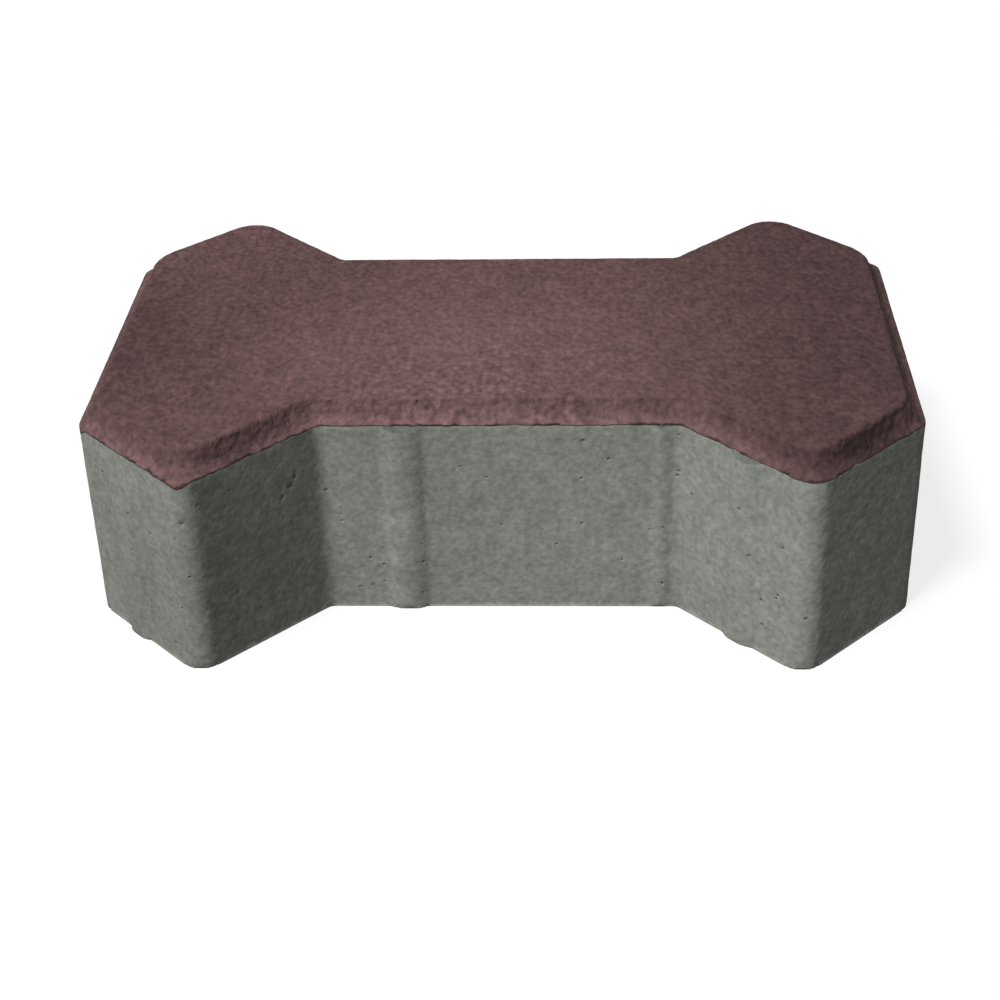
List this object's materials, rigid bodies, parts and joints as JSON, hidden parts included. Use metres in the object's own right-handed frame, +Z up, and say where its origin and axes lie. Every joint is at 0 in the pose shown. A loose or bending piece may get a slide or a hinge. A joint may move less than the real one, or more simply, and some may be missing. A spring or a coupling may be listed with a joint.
{
  "type": "interlocking concrete paving stone",
  "caption": "Flat dog-bone paving stone of pressed concrete, red on top and grey below, with a bevelled wearing surface and side recesses that take the end of the next stone.",
  "frame": {"origin": "centre of the underside, on the ground that the stone rests on", "axes": "+X along the stone's length, towards one keyed end; +Z up, from the underside to the wearing surface"},
  "size_m": [0.21, 0.145, 0.06],
  "materials": {
    "concrete": "matte pressed concrete with a fine sandy grain: pigmented dark red on top, grey on the sides and underside"
  },
  "bodies": {
    "root": {"paving_stone": "concrete"}
  },
  "joints": []
}
